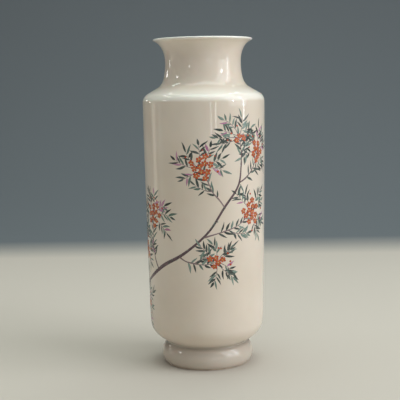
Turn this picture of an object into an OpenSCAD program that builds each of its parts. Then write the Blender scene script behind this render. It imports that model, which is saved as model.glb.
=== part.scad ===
// Rouleau vase in white porcelain, built as the potter builds it: a turned foot, two body sections and a
// neck, each thrown alone, joined with slip along bevelled seams, then glazed outside, inside and underneath.
// The axis is +Z, the origin is the centre of the foot on the table, and lengths are millimetres.

/* [Overall] */
// Height from the table to the top of the lip
vase_h = 350; // [320:1:420]

/* [Mouth and neck] */
// Diameter across the lip
lip_d = 106.4; // [98:0.2:118]
// Thickness of the rounded lip
lip_t = 2.2; // [1.8:0.1:3]
// Slope of the flared lip above the horizontal, in degrees
lip_slope = 18; // [12:1:32]
// Outside diameter of the neck at its waist
neck_d = 81.2; // [74:0.2:88]
// Height from the waist of the neck to the top of the lip
flare_h = 24.5; // [22:0.5:32]
// Height from the waist of the neck down to the shoulder slope
root_h = 26.5; // [24:0.5:34]

/* [Shoulder] */
// Diameter at which the neck runs out into the shoulder slope
root_d = 97.6; // [94:0.2:104]
// Fall of the shoulder below the horizontal, in degrees
shoulder_slope = 30.5; // [24:0.5:36]
// Radius of the rounded shoulder edge
shoulder_round = 11; // [6:0.5:12]

/* [Body] */
// Diameter of the body at the shoulder
body_top_d = 130.8; // [124:0.2:140]
// Diameter of the body above the heel
body_heel_d = 123.2; // [116:0.2:130]
// Outward bow of the body wall at mid height
wall_bow = 0.6; // [0:0.1:2]
// Height of the rounded heel above the foot
heel_h = 22.5; // [18:0.5:30]
// Slope of the heel where it leaves the foot, in degrees
heel_slope = 40; // [26:1:48]

/* [Foot] */
// Height of the foot, up to the crease under the body
foot_h = 22.5; // [19:0.5:26]
// Diameter of the foot where it bulges most
foot_d = 99.6; // [96:0.2:106]
// Diameter of the crease between the foot and the body
crease_d = 88.4; // [86:0.2:92]
// Height of the crease
crease_h = 1.6; // [1:0.1:2.5]
// Outside diameter of the bare ring that stands on the table
rest_d = 90.4; // [87:0.2:94]
// Width of the bare ring
rest_w = 4.2; // [3:0.1:6]
// Depth of the recess under the base
recess_h = 9; // [6:0.5:11]
// Radius of the corner between the recess and the foot's inner wall
recess_round = 4; // [2:0.5:5]
// Draft of the foot's inner wall, in degrees
recess_draft = 8; // [4:1:14]
// Width of bare clay wiped free of glaze above the table
wiped_h = 1.8; // [1.2:0.1:3]

/* [Wall] */
// Thickness of the wall with its two glazes
wall_t = 4.2; // [3.4:0.1:5.5]
// Thickness of the wall behind the crease, where the foot meets the body
crease_t = 4.8; // [4:0.1:6.5]
// Thickness of the floor with its two glazes
floor_t = 8; // [6:0.5:10]
// Diameter of the flat middle of the floor inside
floor_d = 30; // [22:1:40]
// Thickness of each glaze
glaze_t = 0.4; // [0.3:0.05:0.5]

/* [Slip joints] */
// Thickness of the slip in a seam
slip_t = 0.8; // [0.5:0.1:1.2]
// Rise of a bevelled seam from the outside to the inside of the wall
seam_rise = 2.4; // [1.6:0.1:3]
// Height of the seam between the two body sections
body_seam_z = 166; // [140:1:200]
// Height of the neck's seam above the shoulder slope
neck_seam_up = 4.5; // [3:0.5:8]

/* [Hidden] */
$fn = 128;

porcelain = [0.93, 0.91, 0.87];
slip = [0.90, 0.87, 0.81];
ivory_glaze = [0.90, 0.88, 0.82];
curve_steps = 14;
wall_steps = 8;
bowl_steps = 8;
lip_steps = 6;
lip_inside_steps = 2;
small = 0.001;

// Lengths of the curves' handles, as shares of the height that each curve climbs
belly_pull = 0.25;
heel_low_pull = 0.22;
heel_top_pull = 0.66;
root_pull = 0.24;
waist_pull = 0.56;
lip_pull = 0.23;

waist_z = vase_h - flare_h;
root_z = waist_z - root_h;
heel_z = foot_h + crease_h;
wall_z0 = heel_z + heel_h;
floor_z = recess_h + floor_t;
body_top_r = body_top_d / 2;
body_heel_r = body_heel_d / 2;
foot_seam_z = foot_h + crease_h / 2 - slip_t / 2;
neck_seam_z = root_z + neck_seam_up;
// The straight shoulder and the wall meet at this corner, which an arc rounds off
corner_z = root_z - (body_top_r - root_d / 2) * tan(shoulder_slope);
corner_turn = 90 - shoulder_slope;
corner_cut = shoulder_round * tan(corner_turn / 2);
wall_z1 = corner_z - corner_cut;
lip_r = lip_t / 2;
lip_centre = [lip_d / 2 - lip_r, vase_h - lip_r];
flare_end = lip_centre + lip_r * direction(lip_slope - 90);
rest_r = rest_d / 2;
recess_r = rest_r - rest_w;

// Curves in the half section, as [radius, height] points

function bezier(a, b, c, d, steps = curve_steps) =
    [for (i = [0 : steps]) let (t = i / steps, s = 1 - t)
        s * s * s * a + 3 * s * s * t * b + 3 * s * t * t * c + t * t * t * d];

function arc(centre, r, from, to, steps) =
    [for (i = [0 : steps]) centre + r * direction(from + (to - from) * i / steps)];

// Joins curves end to end and leaves out points that coincide
function joined(curves) =
    let (all = [for (c = curves) each c])
    [for (i = [0 : len(all) - 1]) if (i == 0 || norm(all[i] - all[i - 1]) > small) all[i]];

function reversed(path) = [for (i = [len(path) - 1 : -1 : 0]) path[i]];

function without_last(path) = [for (i = [0 : len(path) - 2]) path[i]];

function unit(v) = v / norm(v);

function direction(angle) = [cos(angle), sin(angle)];

// Direction to the left of the path at point i, halfway between its two edges
function left(path, i) =
    let (last = len(path) - 1,
         before = unit(path[max(i, 1)] - path[max(i, 1) - 1]),
         after = unit(path[min(i, last - 1) + 1] - path[min(i, last - 1)]),
         mean = unit(before + after))
    [-mean[1], mean[0]] / max(0.5, mean * after);

// The path moved to its left by a distance, which may change from point to point
function moved(path, distances) =
    [for (i = [0 : len(path) - 1])
        path[i] + left(path, i) * (is_list(distances) ? distances[i] : distances)];

// Radius of a rising path at a height
function radius_at(path, z) = lookup(z, [for (p = path) [p[1], p[0]]]);

// The stretch of a rising path above a height, below one, or between two
function above(path, z) =
    concat([[radius_at(path, z), z]], [for (p = path) if (p[1] > z + small) p]);
function below(path, z) =
    concat([for (p = path) if (p[1] < z - small) p], [[radius_at(path, z), z]]);
function stretch(path, z0, z1) = below(above(path, z0), z1);

// Outer glazed surface, from the table to the lip

// The belly of the foot passes through its widest point at mid height
belly_r = (8 * foot_d / 2 - rest_r - glaze_t - crease_d / 2) / 6;
foot_curve = bezier([rest_r + glaze_t, 0], [belly_r, foot_h * belly_pull],
                    [belly_r, foot_h * (1 - belly_pull)], [crease_d / 2, foot_h]);

wall_foot = [body_heel_r, wall_z0];
wall_top = [body_top_r, wall_z1];
wall_third = (wall_top - wall_foot) / 3;
bow = [wall_bow * 4 / 3, 0];
wall_curve = bezier(wall_foot, wall_foot + wall_third + bow,
                    wall_top - wall_third + bow, wall_top, wall_steps);

heel_foot = [crease_d / 2, heel_z];
heel_curve = bezier(heel_foot, heel_foot + heel_h * heel_low_pull * direction(heel_slope),
                    wall_foot - heel_h * heel_top_pull * unit(wall_third + bow), wall_foot);

shoulder_curve = arc(wall_top - [shoulder_round, 0], shoulder_round, 0, corner_turn, curve_steps);

root = [root_d / 2, root_z];
waist = [neck_d / 2, waist_z];
root_curve = bezier(root, root + root_h * root_pull * direction(180 - shoulder_slope),
                    waist - [0, root_h * waist_pull], waist);
flare_curve = bezier(waist, waist + [0, flare_h * waist_pull],
                     flare_end - flare_h * lip_pull * direction(lip_slope), flare_end);
body_skin = joined([wall_curve, shoulder_curve, root_curve, flare_curve]);

// The lip's two rounded halves meet at its highest point
function lip_outside(r) = arc(lip_centre, r, lip_slope - 90, 90, lip_steps);
function lip_inside(r) = arc(lip_centre, r, lip_slope + 90, 90, lip_inside_steps);

outer_skin = joined([foot_curve, heel_curve, body_skin, lip_outside(lip_r)]);
outer_clay = joined([[[rest_r, 0]],
                     without_last(moved(joined([foot_curve, heel_curve, body_skin]), glaze_t)),
                     lip_outside(lip_r - glaze_t)]);

// Inner glazed surface, from the floor to the lip: the bowl runs behind the crease at the heel's slope,
// and the wall thins up the neck to the lip

function thickness(z) =
    wall_t + (lip_t - wall_t) * min(1, max(0, (z - root_z) / (flare_end[1] - root_z)));
body_inside = moved(body_skin, [for (p = body_skin) thickness(p[1])]);
bowl_foot = [floor_d / 2, floor_z];
bowl_mid = [crease_d / 2, foot_h + crease_h / 2] + crease_t * direction(90 + heel_slope);
bowl_top = body_inside[0];
low_third = norm(bowl_mid - bowl_foot) / 3;
top_third = norm(bowl_top - bowl_mid) / 3;
bowl_curve = joined([bezier(bowl_foot, bowl_foot + [low_third, 0],
                            bowl_mid - low_third * direction(heel_slope), bowl_mid, bowl_steps),
                     bezier(bowl_mid, bowl_mid + top_third * direction(heel_slope),
                            bowl_top - [0, top_third], bowl_top, bowl_steps)]);
inner_skin = joined([[[0, floor_z]], bowl_curve, without_last(body_inside), lip_inside(lip_r)]);
inner_clay = joined([[[0, floor_z - glaze_t]],
                     without_last(moved(joined([bowl_curve, body_inside]), -glaze_t)),
                     lip_inside(lip_r - glaze_t)]);

// Glazed surface of the recess under the base, from the foot's inner edge to the centre
recess_top_r = recess_r - recess_h * tan(recess_draft);
recess_turn = 90 - recess_draft;
recess_corner = recess_round * tan(recess_turn / 2);
recess_centre = [recess_top_r - recess_corner, recess_h - recess_round];
recess_clay = joined([[[recess_r, 0]], arc(recess_centre, recess_round, recess_draft, 90, lip_steps),
                      [[0, recess_h]]]);
recess_skin = moved(recess_clay, glaze_t);

// Pieces

// A ring of clay between two heights on the outside of the wall, with bevelled seams or a plain top
module clay_ring(z0, z1, top_rise = seam_rise) {
    rotate_extrude()
        polygon(concat(stretch(outer_clay, z0, z1),
                       reversed(stretch(inner_clay, z0 + seam_rise, z1 + top_rise))));
}

// Foot ring and floor, turned in one piece, with a bare ring to stand on
module foot() {
    color(porcelain)
        rotate_extrude()
            polygon(concat(recess_clay,
                           below(inner_clay, foot_seam_z + seam_rise),
                           reversed(below(outer_clay, foot_seam_z))));
}

module foot_slip() {
    color(slip)
        clay_ring(foot_seam_z, foot_seam_z + slip_t);
}

module lower_body() {
    color(porcelain)
        clay_ring(foot_seam_z + slip_t, body_seam_z);
}

module body_slip() {
    color(slip)
        clay_ring(body_seam_z, body_seam_z + slip_t);
}

// Upper half of the body with its sloping shoulder
module upper_body() {
    color(porcelain)
        clay_ring(body_seam_z + slip_t, neck_seam_z);
}

module neck_slip() {
    color(slip)
        clay_ring(neck_seam_z, neck_seam_z + slip_t);
}

// Neck with its flared, rounded lip
module neck() {
    color(porcelain)
        clay_ring(neck_seam_z + slip_t, vase_h - glaze_t, top_rise = 0);
}

// Glaze on the outside, from the bare ring to the middle of the lip
module outer_glaze() {
    color(ivory_glaze)
        rotate_extrude()
            polygon(concat(above(outer_skin, wiped_h), reversed(above(outer_clay, wiped_h))));
}

// Glaze on the inside, from the floor to the middle of the lip
module inner_glaze() {
    color(ivory_glaze)
        rotate_extrude()
            polygon(concat(inner_skin, reversed(inner_clay)));
}

// Glaze in the recess under the base
module base_glaze() {
    color(ivory_glaze)
        rotate_extrude()
            polygon(concat(above(recess_clay, wiped_h), reversed(above(recess_skin, wiped_h))));
}

foot();
foot_slip();
lower_body();
body_slip();
upper_body();
neck_slip();
neck();
outer_glaze();
inner_glaze();
base_glaze();
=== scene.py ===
import bisect
import math
import random

import bmesh
import bpy
from mathutils import Matrix, Vector


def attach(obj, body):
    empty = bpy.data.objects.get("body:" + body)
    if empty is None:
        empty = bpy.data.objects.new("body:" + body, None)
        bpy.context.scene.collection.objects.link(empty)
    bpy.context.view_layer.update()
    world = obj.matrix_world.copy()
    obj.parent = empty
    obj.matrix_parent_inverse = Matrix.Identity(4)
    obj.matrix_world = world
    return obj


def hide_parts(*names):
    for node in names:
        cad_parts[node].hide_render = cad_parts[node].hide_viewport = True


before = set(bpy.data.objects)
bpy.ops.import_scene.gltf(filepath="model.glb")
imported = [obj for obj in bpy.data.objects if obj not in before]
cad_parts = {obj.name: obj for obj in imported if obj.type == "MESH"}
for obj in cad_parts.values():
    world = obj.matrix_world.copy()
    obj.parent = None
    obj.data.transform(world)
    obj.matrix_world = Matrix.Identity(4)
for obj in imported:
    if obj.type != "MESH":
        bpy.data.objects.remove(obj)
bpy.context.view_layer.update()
print("frame loaded")

mm = 0.001
nearZero = 1e-6


def hexColour(text):
    # sRGB hex to the linear values that the shaders use
    channels = [int(text[i:i + 2], 16) / 255 for i in (1, 3, 5)]
    linear = [c / 12.92 if c <= 0.04045 else ((c + 0.055) / 1.055) ** 2.4 for c in channels]
    return (*linear, 1.0)


def addNode(tree, kind, settings, links=None):
    # adds one shader node; a setting is a property, a ramp's stops,
    # or the value of a socket, given by the socket's name or number
    node = tree.nodes.new(kind)
    for name, value in settings.items():
        if name == "stops":
            ramp = node.color_ramp.elements
            while len(ramp) < len(value):
                ramp.new(0.5)
            for stop, (place, colour) in zip(ramp, value):
                stop.position = place
                stop.color = hexColour(colour)
        elif isinstance(name, str) and hasattr(node, name):
            setattr(node, name, value)
        else:
            node.inputs[name].default_value = value
    for socket, source in (links or {}).items():
        tree.links.new(source, node.inputs[socket])
    return node


def newMaterial(name):
    material = bpy.data.materials.new(name)
    material.use_nodes = True
    material.node_tree.nodes.clear()
    return material, material.node_tree


def finishMaterial(tree, settings, links):
    shader = addNode(tree, "ShaderNodeBsdfPrincipled", settings, links)
    addNode(tree, "ShaderNodeOutputMaterial", {}, {"Surface": shader.outputs["BSDF"]})


# Camera, where the photograph was taken from
cameraSet = {
    "distance": 1033.6 * mm,  # from the vase's axis
    "height": 297.3 * mm,
    "pitchDown": 6.64,  # degrees
    "turnLeft": 0.313,
    "tilt": 1.007,  # the vase leans this much to the left in the frame
    "focal": 957.68,  # in pixels of the 400-pixel frame
    "frame": 400,
    "sensor": 36.0,
}
camera = bpy.data.objects.new("camera", bpy.data.cameras.new("camera"))
bpy.context.scene.collection.objects.link(camera)
camera.data.sensor_width = cameraSet["sensor"]
camera.data.lens = cameraSet["focal"] / cameraSet["frame"] * cameraSet["sensor"]
camera.matrix_world = (
    Matrix.Translation((0, -cameraSet["distance"], cameraSet["height"]))
    @ Matrix.Rotation(math.radians(cameraSet["turnLeft"]), 4, "Z")
    @ Matrix.Rotation(math.radians(90 - cameraSet["pitchDown"]), 4, "X")
    @ Matrix.Rotation(math.radians(-cameraSet["tilt"]), 4, "Z")
)
bpy.context.scene.camera = camera
bpy.context.scene.view_settings.view_transform = "Standard"
print("camera placed")

# Stage: one matte sheet, flat and pale where the vase stands, then darker and swept up far behind
stageSet = {
    "halfWidth": 3.0,  # metres, as are all its lengths
    "front": -2.2,
    "bend": 0.78,  # where the floor starts to rise, behind the vase
    "bendRadius": 1.4,
    "bendSteps": 24,
    "wall": 2.6,  # height
    "darkening": (0.66, 0.84),  # distances behind the vase between which the colour changes
    "floorColour": "#C4BCB2",
    "wallColour": "#6E7478",
    "roughness": 0.9,
    "shine": 0.1,
}


def makeStage():
    profile = [(stageSet["front"], 0.0), (stageSet["bend"], 0.0)]
    radius, steps = stageSet["bendRadius"], stageSet["bendSteps"]
    for i in range(1, steps + 1):
        turn = math.pi / 2 * i / steps
        profile.append((stageSet["bend"] + radius * math.sin(turn), radius * (1 - math.cos(turn))))
    profile.append((profile[-1][0], stageSet["wall"]))
    verts = [(side * stageSet["halfWidth"], y, z) for y, z in profile for side in (-1, 1)]
    faces = [(2 * i, 2 * i + 1, 2 * i + 3, 2 * i + 2) for i in range(len(profile) - 1)]
    mesh = bpy.data.meshes.new("stage")
    mesh.from_pydata(verts, [], faces)
    mesh.shade_smooth()
    sheet = bpy.data.objects.new("stage", mesh)
    bpy.context.scene.collection.objects.link(sheet)
    # painted studio sheet: rolled on, so it is matte; paler on the floor than behind
    material, tree = newMaterial("mattePaintedSheet")
    place = addNode(tree, "ShaderNodeTexCoord", {})
    split = addNode(tree, "ShaderNodeSeparateXYZ", {}, {"Vector": place.outputs["Object"]})
    near, far = stageSet["darkening"]
    away = addNode(tree, "ShaderNodeMapRange", {"From Min": near, "From Max": far},
                   {"Value": split.outputs["Y"]})
    tint = addNode(tree, "ShaderNodeValToRGB",
                   {"stops": [(0.0, stageSet["floorColour"]), (1.0, stageSet["wallColour"])]},
                   {"Fac": away.outputs["Result"]})
    finishMaterial(tree, {"Roughness": stageSet["roughness"], "Specular IOR Level": stageSet["shine"]},
                   {"Base Color": tint.outputs["Color"]})
    mesh.materials.append(material)


makeStage()
print("stage made")

# Lights: a high soft window on the right with a bright gap beside it, soft panels overhead and behind,
# faint panels on the left, and small lamps round about that the glaze shows as glints
lightsAim = Vector((0, 0, 250 * mm))  # every lamp faces this spot and is placed from it
lightSet = [
    # name, direction from the viewer's side and elevation in degrees,
    # distance, width and height in metres, watts, colour
    ("window", 67, 26, 2.30, 1.80, 2.30, 30.5, "#F8FBFF"),
    ("windowGap", 77.8, 20, 1.15, 0.06, 0.94, 1.0, "#EEF5FF"),
    ("windowGapLow", 77.8, -4.5, 1.15, 0.06, 0.28, 0.12, "#EEF5FF"),
    ("overheadBack", 180, 62, 1.50, 1.30, 0.70, 5.0, "#F4FFFA"),
    ("overheadRight", 140, 46, 1.50, 0.60, 0.70, 0.5, "#EAFFFF"),
    ("overhead", 42, 82, 1.50, 1.50, 1.50, 16.5, "#F2FFF8"),
    ("ceilingPanel", 48, 62, 1.54, 0.50, 0.11, 0.42, "#EAF7FF"),
    ("ceilingFarLeft", -108, 50, 1.50, 0.80, 0.12, 1.4, "#F4FFF6"),
    ("panelLeft", -106, -4.3, 1.20, 0.20, 0.31, 0.15, "#FFF6E4"),
    ("panelLeftFar", -88, -3.8, 1.20, 0.12, 0.34, 0.05, "#F4FFF6"),
    ("lampBehindLeft", -118, 5, 1.20, 0.06, 0.12, 0.15, "#FFFFFF"),
    ("lampLowLeft", -133, 12, 1.00, 0.05, 0.10, 0.15, "#FFFFFF"),
    ("lampLeft", -82, 23, 2.00, 0.30, 0.15, 1.2, "#FFFFFF"),
    ("lampFrontLeft", -41, 9, 2.20, 0.10, 0.08, 0.25, "#FFFFFF"),
    ("lampFront", 13, 0, 2.40, 0.06, 0.32, 0.25, "#FFFFFF"),
    ("lampFrontRight", 22, 0, 2.40, 0.08, 0.32, 0.35, "#FFFFFF"),
    ("lampRight", 57, 16, 2.20, 0.16, 0.20, 2.4, "#FFFFFF"),
    ("lampAboveRight", 145, 60, 1.55, 0.24, 0.12, 0.7, "#FFFFFF"),
]
for name, turn, rise, away, width, height, power, colour in lightSet:
    turn, rise = math.radians(turn), math.radians(rise)
    lamp = bpy.data.lights.new(name, "AREA")
    lamp.shape = "RECTANGLE"
    lamp.size, lamp.size_y = width, height
    lamp.energy = power
    lamp.color = hexColour(colour)[:3]
    holder = bpy.data.objects.new(name, lamp)
    out = Vector((math.cos(rise) * math.sin(turn), -math.cos(rise) * math.cos(turn), math.sin(rise)))
    holder.location = lightsAim + out * away
    holder.rotation_euler = (-out).to_track_quat("-Z", "Y").to_euler()
    bpy.context.scene.collection.objects.link(holder)

# Surround: an even grey that fills the shadows, a little dimmer overhead
surroundSet = {
    "strength": 1.38,
    # sine of the elevation, and the shade there
    "shades": [(0.00, "#8C8B89"), (0.30, "#868583"), (0.50, "#606060"), (1.00, "#707070")],
}
world = bpy.data.worlds.new("softSurround")
bpy.context.scene.world = world
world.use_nodes = True
world.node_tree.nodes.clear()
way = addNode(world.node_tree, "ShaderNodeTexCoord", {})
up = addNode(world.node_tree, "ShaderNodeSeparateXYZ", {}, {"Vector": way.outputs["Generated"]})
shade = addNode(world.node_tree, "ShaderNodeValToRGB", {"stops": surroundSet["shades"]},
                {"Fac": up.outputs["Z"]})
surround = addNode(world.node_tree, "ShaderNodeBackground", {"Strength": surroundSet["strength"]},
                   {"Color": shade.outputs["Color"]})
addNode(world.node_tree, "ShaderNodeOutputWorld", {}, {"Surface": surround.outputs["Background"]})
print("lights placed")


# Half sections of the turned CAD nodes, so that every skin follows the construction
def halfSection(nodeName):
    # corners of the node's outline in the half plane y = 0, in order, as (radius, height)
    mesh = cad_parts[nodeName].data
    inPlane = {}
    for vertex in mesh.vertices:
        if abs(vertex.co.y) < nearZero and vertex.co.x > -nearZero:
            inPlane[vertex.index] = (round(vertex.co.x, 6), round(vertex.co.z, 6))
    joined = {}
    for edge in mesh.edges:
        a, b = (inPlane.get(i) for i in edge.vertices)
        if a and b and a != b:
            joined.setdefault(a, set()).add(b)
            joined.setdefault(b, set()).add(a)
    ends = [p for p in joined if len(joined[p]) == 1]
    start = max(ends, key=lambda p: p[1]) if ends else min(joined, key=lambda p: (p[1], -p[0]))
    path, seen = [start], {start}
    while True:
        onward = [p for p in joined[path[-1]] if p not in seen]
        if not onward:
            break
        path.append(max(onward))  # a closed outline starts two ways, and the outer one is taken
        seen.add(path[-1])
    if ends:  # a flat middle has no corner of its own, so the outline ends on the axis
        path = [(0.0, path[0][1])] + path + [(0.0, path[-1][1])]
    return dropStraight([Vector(p) for p in path], not ends), not ends


def dropStraight(path, closed):
    # leaves out points that lie on the straight line between their neighbours
    kept = []
    for i, p in enumerate(path):
        if not closed and i in (0, len(path) - 1):
            kept.append(p)
            continue
        a, b = path[i - 1], path[(i + 1) % len(path)]
        line = b - a
        away = abs(line.x * (p.y - a.y) - line.y * (p.x - a.x)) / max(line.length, nearZero)
        if away > nearZero:
            kept.append(p)
    return kept


skinSet = {
    "step": 4.0 * mm,  # along the outline, where it is nearly straight
    "stepTurn": 7.0,  # degrees that the outline turns in one step, where it is curved
    "segments": 192,  # round the axis
    "cornerTurn": 35,  # degrees; a sharper corner is a real edge, which the glaze rounds
    "cornerRound": 0.55 * mm,
    "cornerShare": 0.4,  # of a short side that a rounded edge may take up
    "roundSteps": 4,
    "inset": 0.9994,  # the round skin is slimmer by this, to stay inside the box of the faceted CAD mesh
}


def smoothPath(path, closed):
    # a curve through the outline's corners, with its real edges rounded as melted glaze rounds them
    last = len(path) - 1
    spans = [(path[(i + 1) % len(path)] - path[i]) for i in range(len(path) if closed else last)]
    knots = []  # place, direction in, direction out
    for i, p in enumerate(path):
        before = spans[i - 1] if closed or i > 0 else None
        after = spans[i] if closed or i < last else None
        if before is None or after is None:
            along = (after or before).normalized()
            knots.append((p, along, along))
            continue
        turn = math.degrees(before.angle(after))
        if turn < skinSet["cornerTurn"]:
            along = before.normalized() * after.length + after.normalized() * before.length
            for axis in (0, 1):  # the curve doesn't swell past its widest, narrowest or highest corner
                if before[axis] * after[axis] <= 0:
                    along[axis] = 0.0
            knots.append((p, along.normalized(), along.normalized()))
            continue
        share = skinSet["cornerShare"]
        cut = min(skinSet["cornerRound"], share * before.length, share * after.length)
        start, end = p - before.normalized() * cut, p + after.normalized() * cut
        for k in range(skinSet["roundSteps"] + 1):
            t = k / skinSet["roundSteps"]
            place = start * (1 - t) ** 2 + p * 2 * t * (1 - t) + end * t * t
            along = ((p - start) * (1 - t) + (end - p) * t).normalized()
            knots.append((place, along, along))
    curve = []
    for i in range(len(knots) if closed else len(knots) - 1):
        (p, _, outward), (q, inward, _) = knots[i], knots[(i + 1) % len(knots)]
        length = (q - p).length
        turn = math.degrees(outward.angle(inward))
        steps = max(1, round(length / skinSet["step"]), math.ceil(turn / skinSet["stepTurn"]))
        for k in range(steps):
            t = k / steps
            curve.append(p * (2 * t ** 3 - 3 * t ** 2 + 1) + outward * (length * (t ** 3 - 2 * t ** 2 + t))
                         + q * (3 * t ** 2 - 2 * t ** 3) + inward * (length * (t ** 3 - t ** 2)))
    return curve if closed else curve + [path[-1]]


def meshPiece(name, verts, faces, material):
    mesh = bpy.data.meshes.new(name)
    mesh.from_pydata(verts, [], faces)
    shape = bmesh.new()
    shape.from_mesh(mesh)
    bmesh.ops.recalc_face_normals(shape, faces=shape.faces)
    shape.to_mesh(mesh)
    shape.free()
    mesh.shade_smooth()
    mesh.materials.append(material)
    piece = bpy.data.objects.new(name, mesh)
    bpy.context.scene.collection.objects.link(piece)
    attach(piece, "root")
    return piece


def turnedPiece(name, nodeName, material):
    # a closed solid of revolution that stands for a turned CAD node
    corners, closed = halfSection(nodeName)
    curve = [Vector((p.x * skinSet["inset"], p.y)) for p in smoothPath(corners, closed)]
    count = skinSet["segments"]
    verts, rows = [], []
    for p in curve:
        if p.x < nearZero:
            rows.append([len(verts)] * count)
            verts.append((0, 0, p.y))
            continue
        rows.append([len(verts) + k for k in range(count)])
        verts += [(p.x * math.cos(2 * math.pi * k / count), p.x * math.sin(2 * math.pi * k / count), p.y)
                  for k in range(count)]
    faces = []
    for i in range(len(rows) if closed else len(rows) - 1):
        low, high = rows[i], rows[(i + 1) % len(rows)]
        for k in range(count):
            ring = [low[k], low[(k + 1) % count], high[(k + 1) % count], high[k]]
            faces.append(list(dict.fromkeys(ring)))
    piece = meshPiece(name, verts, faces, material)
    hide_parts(nodeName)
    print(name, "turned from", len(corners), "corners,", len(faces), "faces")
    return curve


# Clear glaze, poured on and melted over ivory-white porcelain: a deep wet gloss, a faint roll of the
# surface, greyer where it is thick on the foot and in the crease and darkened there with painted shade,
# paler where it runs thin on the lip and over the shoulder's edge, with a painted highlight on both,
# and a few iron specks
glazeSet = {
    "pale": "#E5D8CA",
    "warm": "#DED0C0",
    # the grey of thick glaze, which also serves as painted shade on the foot and in the crease
    "pooledAndShaded": "#8E877B",
    # paler glaze where it runs thin, also used as a painted highlight on the lip and the shoulder's edge
    "thin": "#F6F2EA",
    "speck": "#8E7A62",
    "cloud": 70 * mm,  # size of the faint cloudiness
    "cloudRange": (0.35, 0.65),
    "roll": 26 * mm,  # size of the surface's roll
    "rollHeight": 0.08 * mm,
    "peel": 2.2 * mm,  # size of the fine orange peel, drawn coarser than the real one so that it shows
    "peelHeight": 0.0016 * mm,
    "speckSpacing": 21 * mm,
    "speckSize": 0.3 * mm,
    "speckCore": 0.5,  # share of a speck's size that has its full colour
    "speckStrength": 0.75,
    "gloss": (0.015, 0.035),
    "ior": 1.55,
    "milkiness": 0.08,
    "milkDepth": 1.5 * mm,
    # heights between which each share below is given, with black for none and white for all
    "footHeights": (0.0, 40 * mm),
    # thick glaze's grey and painted shade: darker on the foot, darkest in the crease above it
    "pooledAndShadedShare": [(0.02, "#A8A8A8"), (0.12, "#989898"), (0.50, "#9C9C9C"), (0.57, "#E0E0E0"),
                    (0.60, "#D0D0D0"), (0.66, "#000000")],
    # a painted highlight band along the shoulder's edge
    "shoulderHeights": (280 * mm, 300 * mm),
    "shoulderHighlightShare": [(0.20, "#000000"), (0.34, "#CCCCCC"), (0.60, "#CCCCCC"), (0.95, "#000000")],
    # paler thin glaze with a painted highlight along the lip
    "lipHeights": (346.5 * mm, 349.2 * mm),  # from none to all
}


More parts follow.
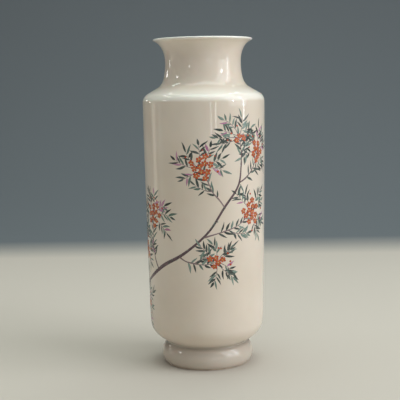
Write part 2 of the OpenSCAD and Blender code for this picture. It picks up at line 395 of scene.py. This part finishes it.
def glazeMaterial():
    material, tree = newMaterial("clearGlazeOnPorcelain")
    place = addNode(tree, "ShaderNodeTexCoord", {}).outputs["Object"]
    cloud = addNode(tree, "ShaderNodeTexNoise", {"Scale": 1 / glazeSet["cloud"], "Detail": 3.0},
                    {"Vector": place})
    warmEnd, paleEnd = glazeSet["cloudRange"]
    body = addNode(tree, "ShaderNodeValToRGB",
                   {"stops": [(warmEnd, glazeSet["warm"]), (paleEnd, glazeSet["pale"])]},
                   {"Fac": cloud.outputs["Fac"]})
    split = addNode(tree, "ShaderNodeSeparateXYZ", {}, {"Vector": place})
    low, high = glazeSet["footHeights"]
    foot = addNode(tree, "ShaderNodeMapRange", {"From Min": low, "From Max": high},
                   {"Value": split.outputs["Z"]})
    pool = addNode(tree, "ShaderNodeValToRGB", {"stops": glazeSet["pooledAndShadedShare"]},
                   {"Fac": foot.outputs["Result"]})
    # mixes in the thick glaze's grey and painted shade on the foot and in the crease
    pooledAndShaded = addNode(tree, "ShaderNodeMix", {"data_type": "RGBA", "B": hexColour(glazeSet["pooledAndShaded"])},
                     {"Factor": pool.outputs["Color"], "A": body.outputs["Color"]})
    low, high = glazeSet["lipHeights"]
    lip = addNode(tree, "ShaderNodeMapRange", {"From Min": low, "From Max": high},
                  {"Value": split.outputs["Z"]})
    low, high = glazeSet["shoulderHeights"]
    shoulder = addNode(tree, "ShaderNodeMapRange", {"From Min": low, "From Max": high},
                       {"Value": split.outputs["Z"]})
    shoulderHighlight = addNode(tree, "ShaderNodeValToRGB", {"stops": glazeSet["shoulderHighlightShare"]},
                   {"Fac": shoulder.outputs["Result"]})
    # painted highlight on the lip and along the shoulder's edge, with the lip's paler thin glaze
    edges = addNode(tree, "ShaderNodeMath", {"operation": "MAXIMUM"},
                    {0: lip.outputs["Result"], 1: shoulderHighlight.outputs["Color"]})
    thinnedAndHighlit = addNode(tree, "ShaderNodeMix", {"data_type": "RGBA", "B": hexColour(glazeSet["thin"])},
                      {"Factor": edges.outputs["Value"], "A": pooledAndShaded.outputs["Result"]})
    cells = addNode(tree, "ShaderNodeTexVoronoi", {"Scale": 1 / glazeSet["speckSpacing"]},
                    {"Vector": place})
    speckRim = glazeSet["speckSize"] / glazeSet["speckSpacing"]
    dots = addNode(tree, "ShaderNodeMapRange",
                   {"From Min": speckRim * glazeSet["speckCore"], "From Max": speckRim,
                    "To Min": glazeSet["speckStrength"], "To Max": 0.0},
                   {"Value": cells.outputs["Distance"]})
    speckled = addNode(tree, "ShaderNodeMix", {"data_type": "RGBA", "B": hexColour(glazeSet["speck"])},
                       {"Factor": dots.outputs["Result"], "A": thinnedAndHighlit.outputs["Result"]})
    smooth, rough = glazeSet["gloss"]
    gloss = addNode(tree, "ShaderNodeMapRange", {"To Min": smooth, "To Max": rough},
                    {"Value": cloud.outputs["Fac"]})
    roll = addNode(tree, "ShaderNodeTexNoise", {"Scale": 1 / glazeSet["roll"], "Detail": 1.0},
                   {"Vector": place})
    rolled = addNode(tree, "ShaderNodeBump", {"Distance": glazeSet["rollHeight"]},
                     {"Height": roll.outputs["Fac"]})
    peel = addNode(tree, "ShaderNodeTexNoise", {"Scale": 1 / glazeSet["peel"], "Detail": 1.0},
                   {"Vector": place})
    peeled = addNode(tree, "ShaderNodeBump", {"Distance": glazeSet["peelHeight"]},
                     {"Height": peel.outputs["Fac"], "Normal": rolled.outputs["Normal"]})
    finishMaterial(tree, {"IOR": glazeSet["ior"], "Subsurface Weight": glazeSet["milkiness"],
                          "Subsurface Scale": glazeSet["milkDepth"]},
                   {"Base Color": speckled.outputs["Result"], "Roughness": gloss.outputs["Result"],
                    "Normal": peeled.outputs["Normal"]})
    return material


# Bare porcelain: turned, wiped clean of glaze and fired without a cover, so it is matte and faintly
# gritty, flushed orange beside the glaze and greyed in patches where it rubs
bareSet = {
    "body": "#DCD0BF",
    "flush": "#C79A72",
    "flushHeights": (0.0, 2 * mm),
    "flushRange": (0.55, 0.95),  # shares of that height over which the flush comes in
    "rubbed": "#9C9083",
    "rubbedRange": (0.48, 0.72),
    "rubbedStrength": 0.55,
    "patch": 14 * mm,
    "grit": 0.5 * mm,  # drawn coarser than the real grain so that it shows
    "gritHeight": 0.03 * mm,
    "roughness": 0.78,
    "ior": 1.5,
}


def bareMaterial():
    material, tree = newMaterial("barePorcelainBiscuit")
    place = addNode(tree, "ShaderNodeTexCoord", {}).outputs["Object"]
    patch = addNode(tree, "ShaderNodeTexNoise", {"Scale": 1 / bareSet["patch"], "Detail": 4.0},
                    {"Vector": place})
    split = addNode(tree, "ShaderNodeSeparateXYZ", {}, {"Vector": place})
    low, high = bareSet["flushHeights"]
    rise = addNode(tree, "ShaderNodeMapRange", {"From Min": low, "From Max": high},
                   {"Value": split.outputs["Z"]})
    start, full = bareSet["flushRange"]
    flush = addNode(tree, "ShaderNodeValToRGB",
                    {"stops": [(0.0, bareSet["body"]), (start, bareSet["body"]), (full, bareSet["flush"])]},
                    {"Fac": rise.outputs["Result"]})
    start, full = bareSet["rubbedRange"]
    worn = addNode(tree, "ShaderNodeMapRange",
                   {"From Min": start, "From Max": full, "To Max": bareSet["rubbedStrength"]},
                   {"Value": patch.outputs["Fac"]})
    dirty = addNode(tree, "ShaderNodeMix", {"data_type": "RGBA", "B": hexColour(bareSet["rubbed"])},
                    {"Factor": worn.outputs["Result"], "A": flush.outputs["Color"]})
    grit = addNode(tree, "ShaderNodeTexNoise", {"Scale": 1 / bareSet["grit"], "Detail": 2.0},
                   {"Vector": place})
    bump = addNode(tree, "ShaderNodeBump", {"Distance": bareSet["gritHeight"]},
                   {"Height": grit.outputs["Fac"]})
    finishMaterial(tree, {"Roughness": bareSet["roughness"], "IOR": bareSet["ior"]},
                   {"Base Color": dirty.outputs["Result"], "Normal": bump.outputs["Normal"]})
    return material


glaze = glazeMaterial()
bare = bareMaterial()
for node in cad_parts.values():  # the fired clay under the glazes; only the foot's ring shows
    node.data.materials.clear()
    node.data.materials.append(bare)
outerCurve = turnedPiece("glaze_outside", "outer_glaze", glaze)
turnedPiece("glaze_inside", "inner_glaze", glaze)
turnedPiece("glaze_under_base", "base_glaze", glaze)
print("glazes turned")

# Painted enamels: every stroke is a thin domed pad of melted colour on the glaze
paintSet = {
    "wrap": 64 * mm,  # radius of the wall that the drawing is wrapped on
    "sink": 0.03 * mm,  # how far the colour has melted into the glaze
    "edge": 0.012 * mm,  # thickness at a stroke's rim
    "narrowest": 0.12 * mm,
    "thinning": 0.6,  # how much a stroke gets thinner where it narrows
    "dome": 0.7,  # roundness of its top
    "widthTries": 20,  # places along a stroke where its greatest width is looked for
    "ahead": 0.01,  # share of a stroke over which its direction is taken
    "wobble": 7,  # degrees that the hand strays in one part of a line
    "seed": 23,
}
rng = random.Random(paintSet["seed"])
outerSide = outerCurve[:max(range(len(outerCurve)), key=lambda i: outerCurve[i].y) + 1]
outerHeights = [p.y for p in outerSide]


def onSkin(spot, lift):
    # a point of the drawing, (distance round, height), lifted off the outer glaze
    k = bisect.bisect(outerHeights, spot[1])
    low, high = outerSide[k - 1], outerSide[k]
    radius = low.x + (high.x - low.x) * (spot[1] - low.y) / (high.y - low.y) + lift
    angle = spot[0] / paintSet["wrap"]
    return (radius * math.sin(angle), -radius * math.cos(angle), spot[1])


def throughSpots(spots, t):
    # a smooth line through the spots, at share t of its length
    at = t * (len(spots) - 1)
    i = min(int(at), len(spots) - 2)
    f = at - i
    p1, p2 = spots[i], spots[i + 1]
    p0 = spots[i - 1] if i else p1 * 2 - p2
    p3 = spots[i + 2] if i + 2 < len(spots) else p2 * 2 - p1
    return (p1 * 2 + (p2 - p0) * f + (p0 * 2 - p1 * 5 + p2 * 4 - p3) * f ** 2
            + (p1 * 3 - p0 - p2 * 3 + p3) * f ** 3) / 2


def newPaint():
    return {"verts": [], "faces": [], "along": [], "across": [], "tone": []}


def addStroke(paint, spots, widthAt, thick, steps, over=0.0, cells=8):
    # one stroke along a line of spots, as wide as widthAt says and closed all round;
    # over lifts it onto older paint, and cells are its faces from side to side
    tone = rng.random()
    tries = paintSet["widthTries"]
    widest = max(widthAt(k / tries) for k in range(tries + 1))
    sides = [2 * c / cells - 1 for c in range(cells + 1)]
    ring, first = cells + 3, len(paint["verts"])
    for k in range(steps + 1):
        t = (1 - math.cos(math.pi * k / steps)) / 2
        spot = throughSpots(spots, t)
        onward = throughSpots(spots, min(1, t + paintSet["ahead"]))
        behind = throughSpots(spots, max(0, t - paintSet["ahead"]))
        along = (onward - behind).normalized()
        side = Vector((-along.y, along.x))
        half = max(widthAt(t), paintSet["narrowest"]) / 2
        crown = thick * min(1, 2 * half / widest) ** paintSet["thinning"]
        for s in sides:
            lift = paintSet["edge"] + over + crown * (1 - s * s) ** paintSet["dome"]
            paint["verts"].append(onSkin(spot + side * (half * s), lift))
        for s in (1, -1):
            paint["verts"].append(onSkin(spot + side * (half * s), -paintSet["sink"]))
        paint["along"] += [t] * ring
        paint["across"] += sides + [1, -1]
        paint["tone"] += [tone] * ring
    for k in range(steps):
        a, b = first + k * ring, first + (k + 1) * ring
        paint["faces"] += [(a + c, a + (c + 1) % ring, b + (c + 1) % ring, b + c) for c in range(ring)]
    end = first + steps * ring
    paint["faces"] += [tuple(range(first, first + ring)), tuple(range(end, end + ring))]


def finishPaint(name, paint, material):
    piece = meshPiece(name, paint["verts"], paint["faces"], material)
    for key in ("along", "across", "tone"):
        layer = piece.data.attributes.new(key, "FLOAT", "POINT")
        layer.data.foreach_set("value", paint[key])
    print(name, len(paint["faces"]), "faces")


def heading(degrees):
    return Vector((math.cos(math.radians(degrees)), math.sin(math.radians(degrees))))


def growLine(start, degrees, length, bend, parts=5):
    # spots of a line that starts in one direction and bends evenly
    spots = [start]
    for k in range(parts):
        stray = rng.uniform(-paintSet["wobble"], paintSet["wobble"])
        turn = degrees + bend * (k + 0.5) / parts + stray
        spots.append(spots[-1] + heading(turn) * (length / parts))
    return spots


# The drawing: lengths in mm, angles in degrees, and pairs are the ends of a range
branchSet = {
    # distance round the wall from the front, and height
    "trunk": [(-192, 48), (-172, 62), (-146, 70), (-112, 84), (-80, 96), (-50, 114), (-24, 128),
              (2, 150), (20, 176), (36, 198), (40, 222)],
    "trunkWidth": (5.2, 1.5),
    "trunkStart": 0.07,  # share of the trunk over which the brush comes down
    "trunkSteps": 110,
    # share of the trunk, starting direction, bend, length, and blossoms at the twig's end
    "twigs": [
        (0.05, 168, -84, 44, 6),
        (0.13, 100, -78, 80, 10),
        (0.24, -40, 52, 40, 5),
        (0.30, 88, -52, 52, 8),
        (0.47, 118, -44, 62, 11),
        (0.58, -34, 56, 44, 5),
        (0.68, 10, 22, 64, 12),
        (0.80, 134, -30, 50, 11),
        (0.91, 18, 56, 46, 8),
        (0.985, 82, 26, 30, 3),  # carries the trunk on to its tip
    ],
    "twigWidth": (1.6, 0.6),
    "twigSteps": 26,
    "thick": 0.09,
    "lump": 0.16,  # share of the width by which wood swells and shrinks
    "lumps": 17,  # radians of that swelling along one stroke
    "startWidth": 0.2,  # share of the width where a stroke starts
    "fork": 0.42,  # share of a twig where a leafy side twig leaves it
    "forkTurn": (34, 52),
    "forkBend": 30,
    "forkLength": (0.34, 0.5),  # share of the twig's length
    "forkWidth": (0.9, 0.4),
    "forkThick": 0.06,
    "forkSteps": 16,
}
barkSet = {  # short dry strokes on the shaded side of the trunk, and dots of moss along it
    "strokes": 60,
    "places": (0.02, 0.85),  # share of the trunk
    "length": (2.24, 5.37),
    "drop": (-0.1, 0.36),  # share of the trunk's width, towards its shaded side
    "shaded": Vector((0.3, -1)),
    "width": (0.35, 0.7),
    "thick": 0.04,
    "steps": 6,
    "cells": 4,
    "moss": 30,
    "mossPlaces": (0.03, 0.8),
    "mossReach": (1.0, 2.4),
    "mossSize": (0.9, 1.6),
}
blossomSet = {
    "size": (3.3, 4.0),  # a petal's reach from the middle
    "petals": 5,
    "petalVary": (0.93, 1.07),
    "petalSpots": (0.17, 0.45, 0.72, 1.0),  # share of the reach
    "petalWidth": 0.9,  # share of the reach
    "petalFoot": 0.35,  # width where a petal leaves the middle
    "petalSteps": 10,
    "flat": (0.72, 1.0),  # how much a blossom is squeezed by being seen from the side
    "narrowing": 0.25,  # share of a petal's width that follows that
    "thick": 0.10,
    "over": 0.05,  # blossoms are painted over leaves and twigs
    "stamens": 7,
    "stamenStart": 36,
    "stamenTurn": 51.4,
    "stamenSpots": (0.10, 0.30, 0.44),  # share of the reach
    "stamenWidth": 0.22,
    "stamenThick": 0.05,
    "stamenSteps": 2,
    "stamenCells": 2,
    "tipAt": 0.52,
    "tipSize": 0.55,
    "spacing": 3.8,  # blossoms of a cluster are laid out in a spiral
    "spiralTurn": 137.5,
    "spiralStart": 0.2,
    "clusterAt": 0.96,  # share of the twig
    "buds": 5,
    "budSize": (1.6, 2.6),
    "budThick": 0.12,
    "budSteps": 8,
    "budSpread": 120,
    "budReach": (3, 7),  # beyond the cluster
}
leafSet = {
    "length": (7, 12),
    "width": (1.7, 2.7),
    "bend": 24,
    "parts": 4,
    "thick": 0.06,
    "steps": 14,
    "spacing": 2.1,  # between leaves along a twig
    "angle": (30, 58),
    "gap": 0.6,  # from the twig's middle to the leaf
    "ahead": 0.02,  # share of the twig over which its direction is taken
    "tip": 0.98,  # share of the twig where the last leaf grows
    "twigFirst": 0.25,  # share of the twig where the first leaf grows
    "twigCrowd": 0.7,  # twigs have fewer leaves than shoots
    "shootFirst": 0.3,
}
shootSet = {
    "count": 7,  # leafy side shoots round each cluster
    "fan": 250,
    "fanVary": 12,
    "root": 0.55,  # share of the cluster's radius
    "length": (12, 22),
    "bend": 40,
    "parts": 4,
    "width": (0.7, 0.35),
    "thick": 0.05,
    "steps": 12,
}


# Widths of strokes at share t of their length; the powers set how full an outline is
def twigWidth(wide, slim, start=0.01):
    # tapers from wide to slim with lumps, from a pointed start
    phase = rng.uniform(0, 6)  # radians
    least = branchSet["startWidth"]
    return lambda t: ((wide + (slim - wide) * t)
                      * (1 + branchSet["lump"] * math.sin(branchSet["lumps"] * t + phase))
                      * min(1, least + (1 - least) * t / start) ** 0.8 * mm)


def leafWidth(wide):
    return lambda t: wide * mm * math.sin(math.pi * t ** 0.72) ** 0.9 if 0 < t < 1 else 0


def petalWidth(wide):
    # broad near its end, with a narrow foot
    return lambda t: wide * t ** 0.5 * (1 - t ** 4) ** 0.5 + blossomSet["petalFoot"] * mm * (1 - t)


def roundWidth(wide):
    return lambda t: wide * math.sqrt(max(0, 1 - (2 * t - 1) ** 2))


def leant(step, lean, flat):
    # a step across a blossom that is seen a little from the side
    axis = heading(lean)
    return step - axis * (step.dot(axis) * (1 - flat))


def addDot(paint, middle, wide, thick=0.07, steps=6, over=0.0):
    reach = Vector((wide / 2, 0))
    spots = [middle - reach, middle, middle + reach]
    addStroke(paint, spots, roundWidth(wide), thick * mm, steps, over, cells=4)


def paintBlossom(middle, reach):
    part = 360 / blossomSet["petals"]
    turn = rng.uniform(0, part)
    lean = rng.uniform(0, 180)
    flat = rng.uniform(*blossomSet["flat"])
    narrowed = 1 - blossomSet["narrowing"] + blossomSet["narrowing"] * flat
    over = blossomSet["over"] * mm
    for k in range(blossomSet["petals"]):
        out = heading(turn + part * k)
        size = reach * rng.uniform(*blossomSet["petalVary"])
        spots = [middle + leant(out * (size * f), lean, flat) for f in blossomSet["petalSpots"]]
        addStroke(redPaint, spots, petalWidth(size * blossomSet["petalWidth"] * narrowed),
                  blossomSet["thick"] * mm, blossomSet["petalSteps"], over)
    over = 2 * blossomSet["over"] * mm
    for k in range(blossomSet["stamens"]):
        angle = turn + blossomSet["stamenStart"] + blossomSet["stamenTurn"] * k
        out = leant(heading(angle), lean, flat) * reach
        addStroke(stamenPaint, [middle + out * f for f in blossomSet["stamenSpots"]],
                  lambda t: blossomSet["stamenWidth"] * mm, blossomSet["stamenThick"] * mm,
                  blossomSet["stamenSteps"], over, blossomSet["stamenCells"])
        addDot(stamenPaint, middle + out * blossomSet["tipAt"], blossomSet["tipSize"] * mm, over=over)


def paintLeaf(paint, root, degrees, length):
    bend = rng.uniform(-leafSet["bend"], leafSet["bend"])
    spots = growLine(root, degrees, length * mm, bend, leafSet["parts"])
    wide = rng.uniform(*leafSet["width"])
    addStroke(paint, spots, leafWidth(wide), leafSet["thick"] * mm, leafSet["steps"])


def paintLeaves(line, length, first, paints):
    # leaves on both sides of a twig, from share first of its length to its tip
    count = round(length * (1 - first) / leafSet["spacing"])
    for k in range(count + 1):
        t = first + (leafSet["tip"] - first) * k / count
        ahead = throughSpots(line, t + leafSet["ahead"]) - throughSpots(line, t - leafSet["ahead"])
        side = rng.uniform(*leafSet["angle"]) * (1 if k % 2 else -1) if k < count else 0
        turn = math.degrees(math.atan2(ahead.y, ahead.x)) + side
        root = throughSpots(line, t) + heading(turn) * (leafSet["gap"] * mm)
        paintLeaf(rng.choice(paints), root, turn, rng.uniform(*leafSet["length"]))


def paintFork(line, degrees, bend, length):
    # a leafy side twig
    side = rng.choice((-1, 1))
    reach = length * rng.uniform(*branchSet["forkLength"])
    turn = degrees + bend * branchSet["fork"] + side * rng.uniform(*branchSet["forkTurn"])
    start = throughSpots(line, branchSet["fork"])
    fork = growLine(start, turn, reach * mm, -branchSet["forkBend"] * side)
    addStroke(woodPaint, fork, twigWidth(*branchSet["forkWidth"]), branchSet["forkThick"] * mm,
              branchSet["forkSteps"])
    paintLeaves(fork, reach, leafSet["shootFirst"], leafPaints)


def paintCluster(middle, degrees, bend, blossoms):
    # leafy shoots, then blossoms over them, then buds round about
    spread = blossomSet["spacing"] * mm
    rim = spread * math.sqrt(blossoms)
    for k in range(shootSet["count"]):
        vary = rng.uniform(-shootSet["fanVary"], shootSet["fanVary"])
        turn = degrees + bend + shootSet["fan"] * ((k + 0.5) / shootSet["count"] - 0.5) + vary
        reach = rng.uniform(*shootSet["length"])
        root = middle + heading(turn) * (shootSet["root"] * rim)
        curl = rng.uniform(-shootSet["bend"], shootSet["bend"])
        shoot = growLine(root, turn, reach * mm, curl, shootSet["parts"])
        addStroke(woodPaint, shoot, twigWidth(*shootSet["width"]), shootSet["thick"] * mm,
                  shootSet["steps"])
        accent = rng.choice((rosePaint, inkPaint, greenPaint))
        paintLeaves(shoot, reach, leafSet["shootFirst"], leafPaints + [accent])
    for k in range(blossoms):
        turn = blossomSet["spiralTurn"] * k + degrees
        spot = middle + heading(turn) * (spread * math.sqrt(k + blossomSet["spiralStart"]))
        paintBlossom(spot, rng.uniform(*blossomSet["size"]) * mm)
    for _ in range(blossomSet["buds"]):
        turn = degrees + bend + rng.uniform(-blossomSet["budSpread"], blossomSet["budSpread"])
        spot = middle + heading(turn) * (rim + rng.uniform(*blossomSet["budReach"]) * mm)
        addDot(redPaint, spot, rng.uniform(*blossomSet["budSize"]) * mm, blossomSet["budThick"],
               blossomSet["budSteps"], blossomSet["over"] * mm)


def paintTwig(start, degrees, bend, length, blossoms):
    line = growLine(start, degrees, length * mm, bend)
    addStroke(woodPaint, line, twigWidth(*branchSet["twigWidth"]), branchSet["thick"] * mm,
              branchSet["twigSteps"])
    paintLeaves(line, length * leafSet["twigCrowd"], leafSet["twigFirst"], leafPaints)
    paintFork(line, degrees, bend, length)
    paintCluster(throughSpots(line, blossomSet["clusterAt"]), degrees, bend, blossoms)


woodPaint, inkPaint, greenPaint, redPaint, rosePaint, stamenPaint = (newPaint() for _ in range(6))
leafPaints = [inkPaint, inkPaint, greenPaint]
trunk = [Vector(spot) * mm for spot in branchSet["trunk"]]
trunkLength = sum((b - a).length for a, b in zip(trunk, trunk[1:]))
addStroke(woodPaint, trunk, twigWidth(*branchSet["trunkWidth"], branchSet["trunkStart"]),
          branchSet["thick"] * mm, branchSet["trunkSteps"])
for share, degrees, bend, length, blossoms in branchSet["twigs"]:
    paintTwig(throughSpots(trunk, share), degrees, bend, length, blossoms)
thickEnd, thinEnd = branchSet["trunkWidth"]
for _ in range(barkSet["strokes"]):
    t = rng.uniform(*barkSet["places"])
    reach = rng.uniform(*barkSet["length"]) * mm / trunkLength
    wide = thickEnd + (thinEnd - thickEnd) * t
    drop = barkSet["shaded"] * (rng.uniform(*barkSet["drop"]) * wide * mm)
    line = [throughSpots(trunk, t + f * reach) + drop for f in (0, 0.5, 1)]
    addStroke(inkPaint, line, leafWidth(rng.uniform(*barkSet["width"])), barkSet["thick"] * mm,
              barkSet["steps"], branchSet["thick"] * mm, barkSet["cells"])
for _ in range(barkSet["moss"]):
    t = rng.uniform(*barkSet["mossPlaces"])
    offset = heading(rng.uniform(0, 360)) * (rng.uniform(*barkSet["mossReach"]) * mm)
    addDot(greenPaint, throughSpots(trunk, t) + offset, rng.uniform(*barkSet["mossSize"]) * mm)
print("branch painted")

# Enamel: coloured glass ground to powder, brushed on over the glaze and melted in a second firing;
# glossy, paler where the brush ran dry and darker where the colour pooled at a stroke's rim.
# The marks of the brush's hairs are drawn coarser than real ones so that they show; for each enamel,
# hairs gives how many there are across a stroke and along it
enamelSet = {
    "toneSpread": 40.0,  # sets the hair marks of one stroke apart from the next one's
    "toneShare": 0.35,  # how much strokes differ in their load of colour
    "wash": (0.38, 0.85),
    "rimRange": (0.55, 1.0),  # from a stroke's middle line to its side
    "rimStrength": 0.8,
    "ior": 1.55,
}


def enamelMaterial(name, enamel):
    material, tree = newMaterial(name)
    along = addNode(tree, "ShaderNodeAttribute", {"attribute_name": "along"}).outputs["Fac"]
    across = addNode(tree, "ShaderNodeAttribute", {"attribute_name": "across"}).outputs["Fac"]
    tone = addNode(tree, "ShaderNodeAttribute", {"attribute_name": "tone"}).outputs["Fac"]
    brush = addNode(tree, "ShaderNodeCombineXYZ", {}, {"X": across, "Y": along, "Z": tone})
    stretch = (*enamel["hairs"], enamelSet["toneSpread"])
    stretched = addNode(tree, "ShaderNodeVectorMath", {"operation": "MULTIPLY", 1: stretch},
                        {0: brush.outputs["Vector"]})
    hairs = addNode(tree, "ShaderNodeTexNoise", {"Scale": 1.0, "Detail": 2.0},
                    {"Vector": stretched.outputs["Vector"]})
    load = addNode(tree, "ShaderNodeMath", {"operation": "MULTIPLY_ADD", 1: enamelSet["toneShare"]},
                   {0: tone, 2: hairs.outputs["Fac"]})
    dry, wet = enamelSet["wash"]
    wash = addNode(tree, "ShaderNodeValToRGB",
                   {"stops": [(dry, enamel["thin"]), (wet, enamel["full"])]},
                   {"Fac": load.outputs["Value"]})
    far = addNode(tree, "ShaderNodeMath", {"operation": "ABSOLUTE"}, {0: across})
    start, full = enamelSet["rimRange"]
    pool = addNode(tree, "ShaderNodeMapRange",
                   {"From Min": start, "From Max": full, "To Max": enamelSet["rimStrength"]},
                   {"Value": far.outputs["Value"]})
    tint = addNode(tree, "ShaderNodeMix", {"data_type": "RGBA", "B": hexColour(enamel["rim"])},
                   {"Factor": pool.outputs["Result"], "A": wash.outputs["Color"]})
    finishMaterial(tree, {"Roughness": enamel["roughness"], "IOR": enamelSet["ior"]},
                   {"Base Color": tint.outputs["Result"]})
    return material


# Manganese brown, brushed on half dry: wood with broken streaks and a dull gloss
branchEnamel = {
    "thin": "#9A8284",
    "full": "#5A434A",
    "rim": "#46333A",
    "roughness": 0.22,
    "hairs": (3.5, 30),
}
# Cobalt and iron grey, brushed on wet: leaves almost black where the colour is full
inkEnamel = {
    "thin": "#5C6661",
    "full": "#2B3431",
    "rim": "#232B29",
    "roughness": 0.2,
    "hairs": (4, 1.2),
}
# Copper green, melted clear: cool, glassy leaves
greenEnamel = {
    "thin": "#8FA298",
    "full": "#536B60",
    "rim": "#3B4F47",
    "roughness": 0.16,
    "hairs": (4, 1.2),
}
# Iron red, a pigment with little glass in it: dense, warm and the least glossy
redEnamel = {
    "thin": "#D4623C",
    "full": "#B03318",
    "rim": "#6E1C0C",
    "roughness": 0.24,
    "hairs": (6, 1.2),
}
# Rose from gold, opened with white: soft, milky, glassy young leaves
roseEnamel = {
    "thin": "#D6A8BE",
    "full": "#B06E93",
    "rim": "#8A4F75",
    "roughness": 0.15,
    "hairs": (4, 1.2),
}
# Lead and antimony yellow, set in small raised dots: bright, opaque stamens
yellowEnamel = {
    "thin": "#E7C766",
    "full": "#C9992F",
    "rim": "#8A5A22",
    "roughness": 0.18,
    "hairs": (3, 1.2),
}
finishPaint("enamel_branch", woodPaint, enamelMaterial("aubergineBrownEnamel", branchEnamel))
finishPaint("enamel_leaf_ink", inkPaint, enamelMaterial("inkGreyEnamel", inkEnamel))
finishPaint("enamel_leaf_green", greenPaint, enamelMaterial("greyGreenEnamel", greenEnamel))
finishPaint("enamel_iron_red", redPaint, enamelMaterial("ironRedEnamel", redEnamel))
finishPaint("enamel_rose", rosePaint, enamelMaterial("roseEnamel", roseEnamel))
finishPaint("enamel_stamen", stamenPaint, enamelMaterial("strawYellowEnamel", yellowEnamel))
print("enamels fired")
